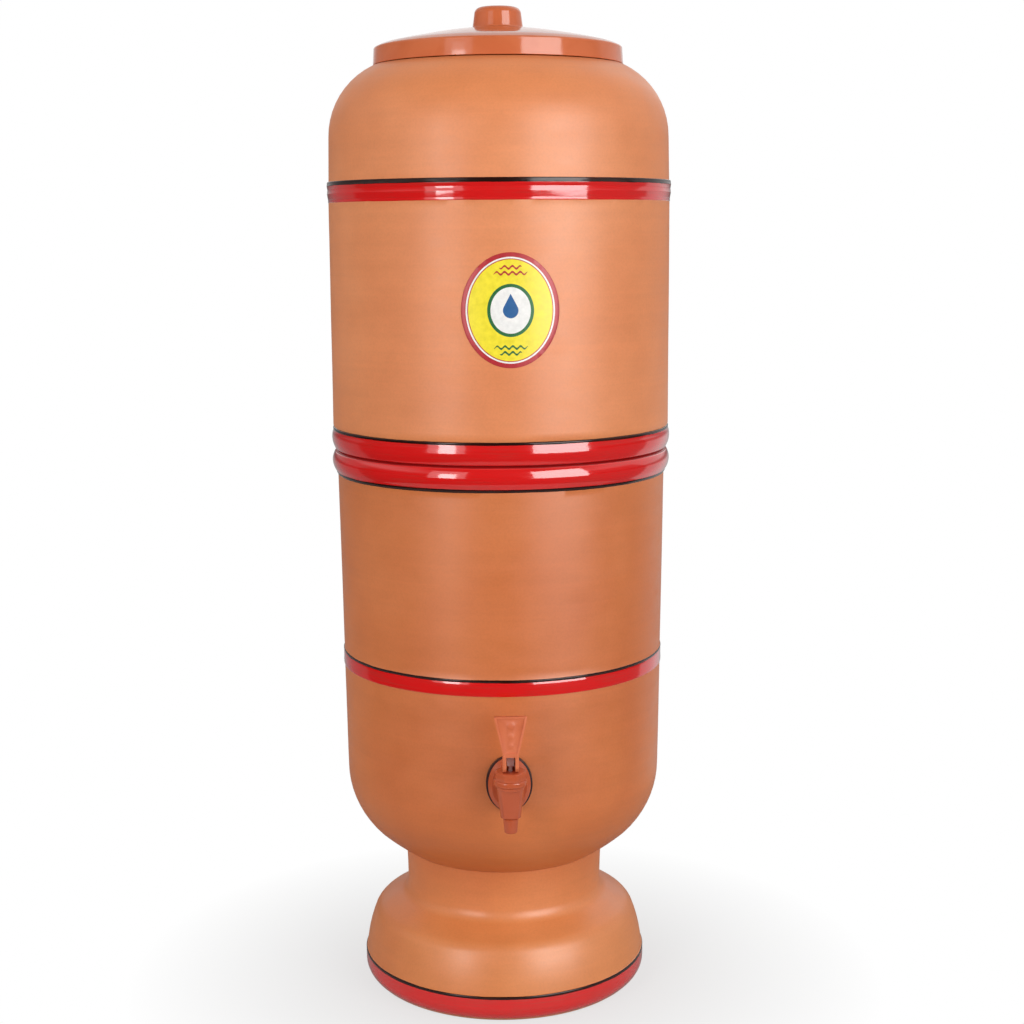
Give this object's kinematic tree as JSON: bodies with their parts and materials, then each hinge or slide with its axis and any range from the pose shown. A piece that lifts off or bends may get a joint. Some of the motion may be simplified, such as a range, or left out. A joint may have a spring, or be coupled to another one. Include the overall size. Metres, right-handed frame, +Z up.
{
  "type": "clay water filter with tap",
  "caption": "Two-vessel terracotta gravity water filter on a clay foot, with ceramic candles and float valves inside, a plastic lid and a self-closing lever tap.",
  "frame": {"origin": "on the vessels' axis, on the surface that the foot stands on", "axes": "+Z up along the vessels' axis, the tap points along -Y, +X to the right of someone facing the tap"},
  "size_m": [0.2066, 0.2316, 0.5996],
  "materials": {
    "clay": "unglazed terracotta, fine turning lines, red and black glaze on the raised bands",
    "badge_print": "printed vinyl, satin",
    "lid_plastic": "moulded, glossy",
    "tap_plastic": "moulded, satin gloss",
    "stem_plastic": "moulded, matte",
    "steel": "drawn pin",
    "black_rubber": "matte rubber",
    "silicone": "milky silicone",
    "candle_ceramic": "porous white ceramic, matte",
    "candle_plastic": "white moulding",
    "carbon": "activated carbon grains",
    "valve_plastic": "white moulding",
    "float_plastic": "blue blown float"
  },
  "bodies": {
    "root": {"foot": "clay", "lower_vessel": "clay", "tap_body": "tap_plastic", "tap_bonnet": "tap_plastic", "outer_gasket": "black_rubber", "inner_gasket": "black_rubber", "tap_nut": "tap_plastic"},
    "upper": {"upper_vessel": "clay", "front_label": "badge_print", "candle_1_shell": "candle_ceramic", "candle_1_base": "candle_plastic", "candle_1_carbon": "carbon", "candle_1_washer": "black_rubber", "candle_1_nut": "candle_plastic", "valve_1_housing": "valve_plastic", "valve_1_pin": "steel", "candle_2_shell": "candle_ceramic", "candle_2_base": "candle_plastic", "candle_2_carbon": "carbon", "candle_2_washer": "black_rubber", "candle_2_nut": "candle_plastic", "valve_2_housing": "valve_plastic", "valve_2_pin": "steel"},
    "lid": {"lid": "lid_plastic", "lid_ring": "lid_plastic"},
    "stem": {"tap_stem": "stem_plastic", "tap_seat_cup": "silicone"},
    "handle": {"tap_handle": "tap_plastic", "handle_pin": "steel"},
    "float_1": {"valve_1_arm": "valve_plastic", "valve_1_seal": "black_rubber", "valve_1_float": "float_plastic"},
    "float_2": {"valve_2_arm": "valve_plastic", "valve_2_seal": "black_rubber", "valve_2_float": "float_plastic"}
  },
  "joints": [
    {"name": "upper_lift", "type": "slide", "parent": "root", "child": "upper", "axis": [0, 0, 1], "range_m": [0, 0.15]},
    {"name": "lid_lift", "type": "slide", "parent": "upper", "child": "lid", "axis": [0, 0, 1], "range_m": [0, 0.12]},
    {"name": "stem_lift", "type": "slide", "parent": "root", "child": "stem", "axis": [0, 0, 1], "range_m": [0, 0.003], "stiffness_N_per_m": 60, "springref_m": -0.001, "deforming": ["tap_seat_cup"]},
    {"name": "handle_tilt", "type": "hinge", "parent": "stem", "child": "handle", "pos_m": [0, -0.1187, 0.1725], "axis": [1, 0, 0], "range_deg": [0, 60.2]},
    {"name": "float_swing_1", "type": "hinge", "parent": "upper", "child": "float_1", "pos_m": [-0.042, -0.012, 0.291], "axis": [1, 0, 0], "range_deg": [0, 30]},
    {"name": "float_swing_2", "type": "hinge", "parent": "upper", "child": "float_2", "pos_m": [0.042, -0.012, 0.291], "axis": [1, 0, 0], "range_deg": [0, 30]}
  ],
  "couplings": [
    {"joint": "handle_tilt", "follows": "stem_lift", "rad_per_m": 349.07}
  ]
}
